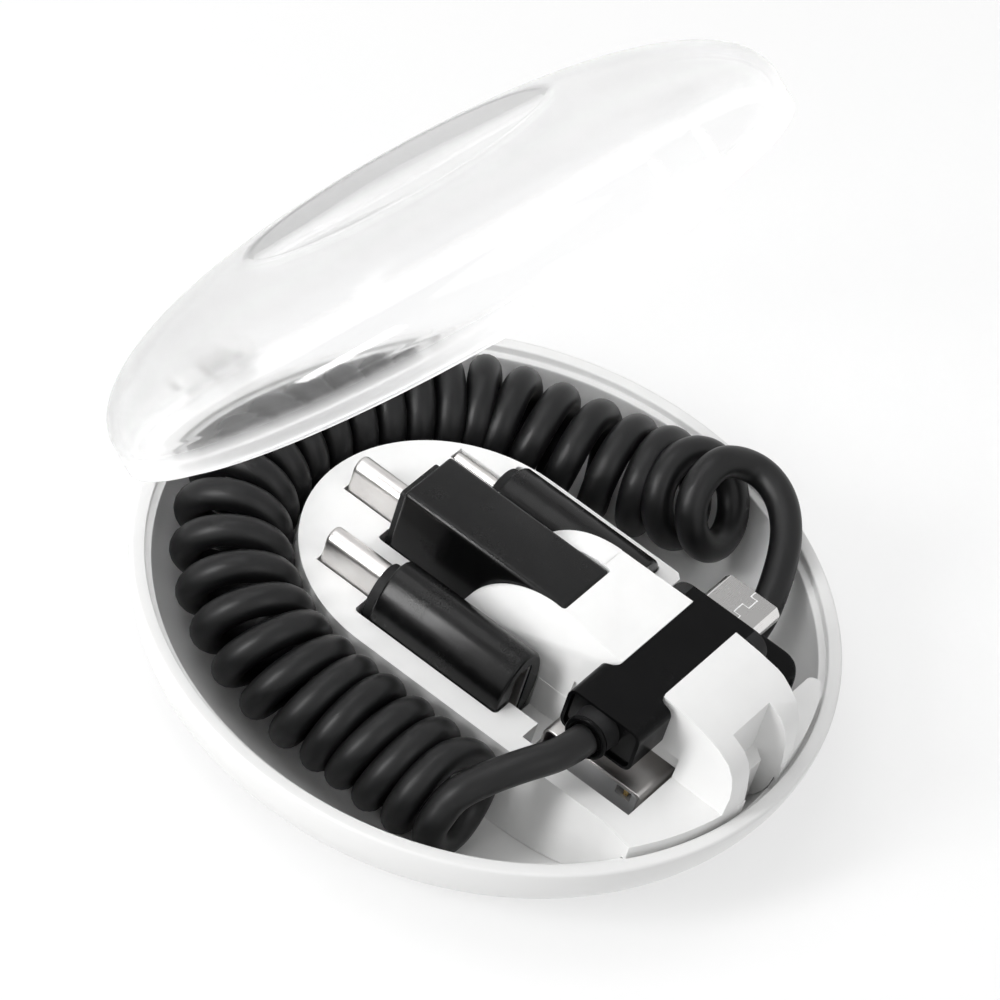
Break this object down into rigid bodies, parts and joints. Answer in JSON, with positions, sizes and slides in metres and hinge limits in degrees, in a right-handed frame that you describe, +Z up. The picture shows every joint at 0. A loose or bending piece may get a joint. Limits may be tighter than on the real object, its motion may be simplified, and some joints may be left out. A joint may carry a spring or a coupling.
{
  "type": "coiled charging cable",
  "caption": "Curly charging cord with a small and a wide plug and clip-in adapters, packed in a round white case with a hinged clear lid.",
  "frame": {"origin": "centre of the flat foot under the case", "axes": "+Z up, +X from the hinge towards the latch, +Y towards the side where the small plug points"},
  "size_m": [0.0771, 0.0726, 0.0755],
  "materials": {
    "case": "gloss white",
    "lid": "clear, slightly frosted",
    "steel": "satin",
    "cord": "matt black",
    "plug": "satin black",
    "core": "matt black",
    "tongue": "matt grey",
    "contact": "polished gold"
  },
  "bodies": {
    "case": {"base_shell": "case", "tray_insert": "case", "hinge_pin": "steel", "small_shell": "steel", "wide_shell": "steel", "round_plug_shell": "steel", "round_socket_shell": "steel", "block_plug_shell": "steel", "block_socket_shell": "steel", "slim_blade": "steel", "slim_socket_shell": "steel", "coil_cord": "cord", "small_lead": "cord", "wide_lead": "cord", "small_relief": "cord", "small_housing": "plug", "small_front_panel": "plug", "wide_housing": "plug", "round_body": "plug", "round_collar": "plug", "block_body": "plug", "block_collar": "plug", "slim_body": "plug", "slim_collar": "plug", "small_insulator": "core", "round_plug_core": "core", "block_plug_core": "core", "round_socket_tongue": "core", "slim_socket_tongue": "core", "wide_tongue": "tongue", "block_socket_tongue": "tongue", "wide_contacts": "contact", "slim_contacts": "contact"},
    "cover": {"lid": "lid"}
  },
  "joints": [
    {"name": "lid_hinge", "type": "hinge", "parent": "case", "child": "cover", "pos_m": [-0.0392, 0, 0.0142], "axis": [0, -1, 0], "range_deg": [-53.1, 56.9]}
  ]
}
